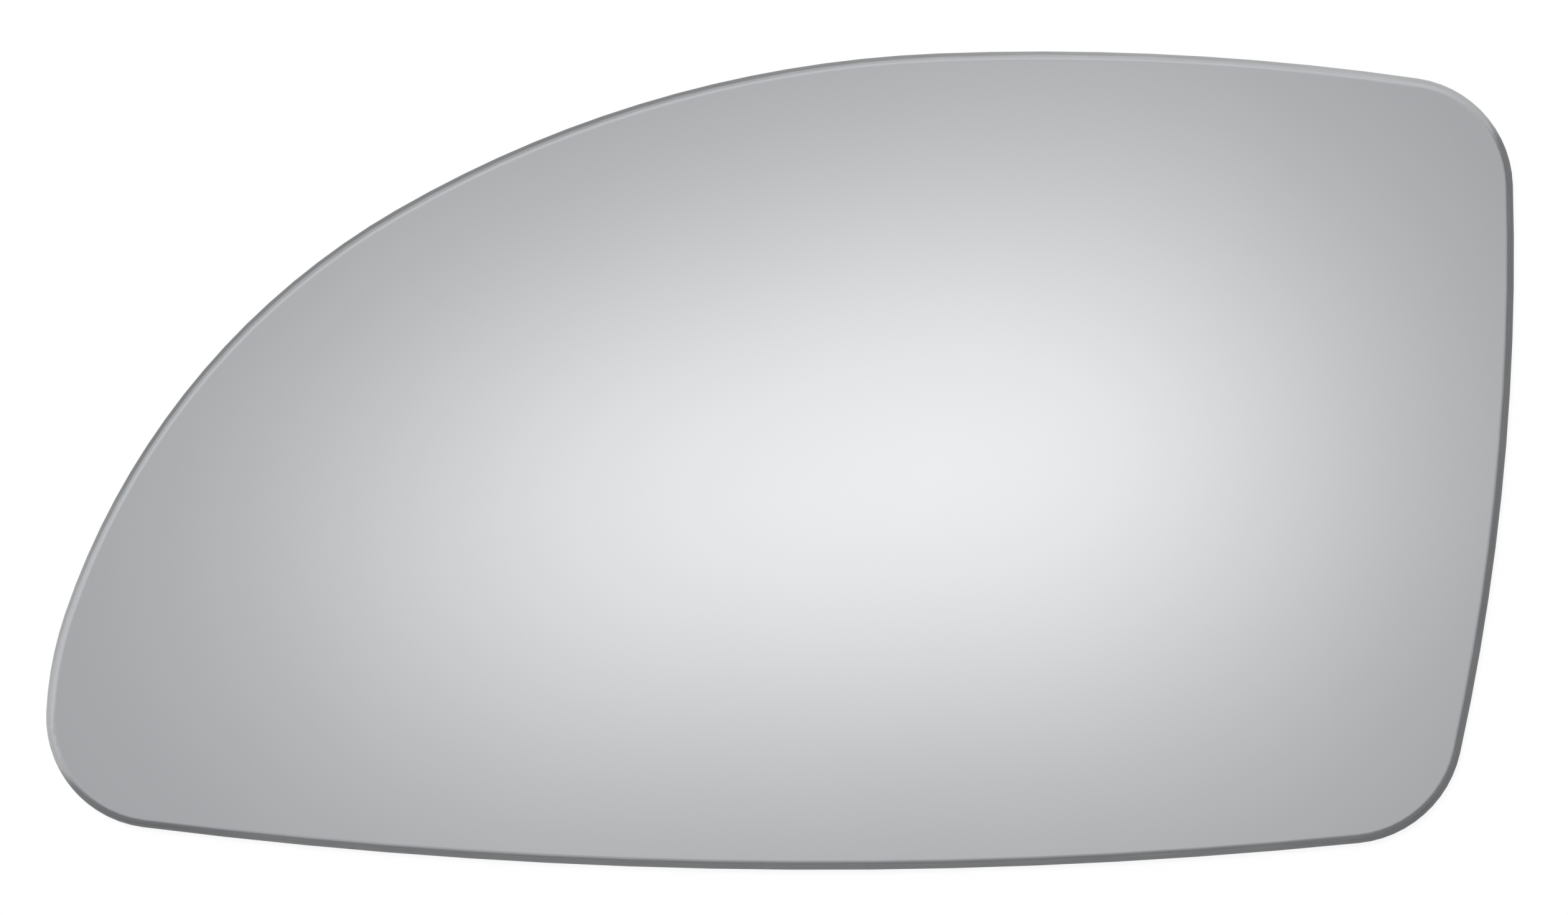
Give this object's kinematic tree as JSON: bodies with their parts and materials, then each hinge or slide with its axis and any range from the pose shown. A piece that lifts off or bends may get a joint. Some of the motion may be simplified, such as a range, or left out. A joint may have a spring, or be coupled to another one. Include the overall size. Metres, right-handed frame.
{
  "type": "door mirror glass",
  "caption": "Flat left-hand car door mirror glass with a tapered outboard nose, rounded corners and a ground rim, made to be bonded to a carrier plate in the mirror housing.",
  "frame": {"origin": "centre of the outline's bounding box, on the flat back of the glass", "axes": "+X from the outboard nose to the inboard side, +Y from the sill up to the crown, +Z out of the mirrored face; the glass lies on its back"},
  "size_m": [0.172, 0.0958, 0.0024],
  "materials": {
    "silvered_glass": "polished mirrored face, finely ground rim, grey lacquered back"
  },
  "bodies": {
    "root": {"mirror_glass": "silvered_glass"}
  },
  "joints": []
}
